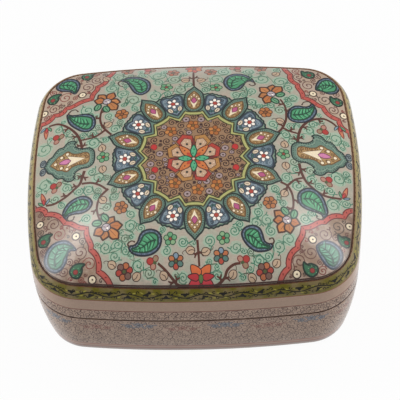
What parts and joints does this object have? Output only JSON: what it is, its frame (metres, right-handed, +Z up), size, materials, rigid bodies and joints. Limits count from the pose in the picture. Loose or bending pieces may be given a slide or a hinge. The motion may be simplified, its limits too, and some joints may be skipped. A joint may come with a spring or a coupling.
{
  "type": "painted wooden box with lift-off lid",
  "caption": "Small rounded rectangular wooden box with bowed painted sides and a lift-off, pillow-topped lid that drops over a locating collar.",
  "frame": {"origin": "on the table under the middle of the box", "axes": "+X to the right along the long side, +Y to the back, +Z up; the lid lifts along +Z"},
  "size_m": [0.152, 0.129, 0.071],
  "materials": {
    "timber": "sawn and planed softwood, bare inside",
    "dowel_wood": "bare beech",
    "collar_wood": "stained dark, thin varnish",
    "pin_steel": "bright wire",
    "green_felt": "baize",
    "red_velvet": "short pile",
    "card": "grey board",
    "side_lacquer": "paint on gesso under clear lacquer",
    "crown_lacquer": "paint on gesso under clear lacquer"
  },
  "bodies": {
    "box_body": {"front_wall": "timber", "back_wall": "timber", "left_wall": "timber", "right_wall": "timber", "front_left_post": "timber", "front_right_post": "timber", "back_left_post": "timber", "back_right_post": "timber", "wall_dowels": "dowel_wood", "bottom_board": "timber", "bottom_pins": "pin_steel", "base_felt": "green_felt", "locating_collar": "collar_wood", "floor_card": "card", "floor_velvet": "red_velvet", "body_paint_skin": "side_lacquer"},
    "lid": {"lid_front_rail": "timber", "lid_back_rail": "timber", "lid_left_rail": "timber", "lid_right_rail": "timber", "lid_front_left_block": "timber", "lid_front_right_block": "timber", "lid_back_left_block": "timber", "lid_back_right_block": "timber", "lid_dowels": "dowel_wood", "crown_panel": "timber", "crown_dowels": "dowel_wood", "lid_velvet": "red_velvet", "rim_paint_skin": "side_lacquer", "crown_paint_skin": "crown_lacquer"}
  },
  "joints": [
    {"name": "lid_lift", "type": "slide", "parent": "box_body", "child": "lid", "axis": [0, 0, 1], "range_m": [0, 0.08]}
  ]
}
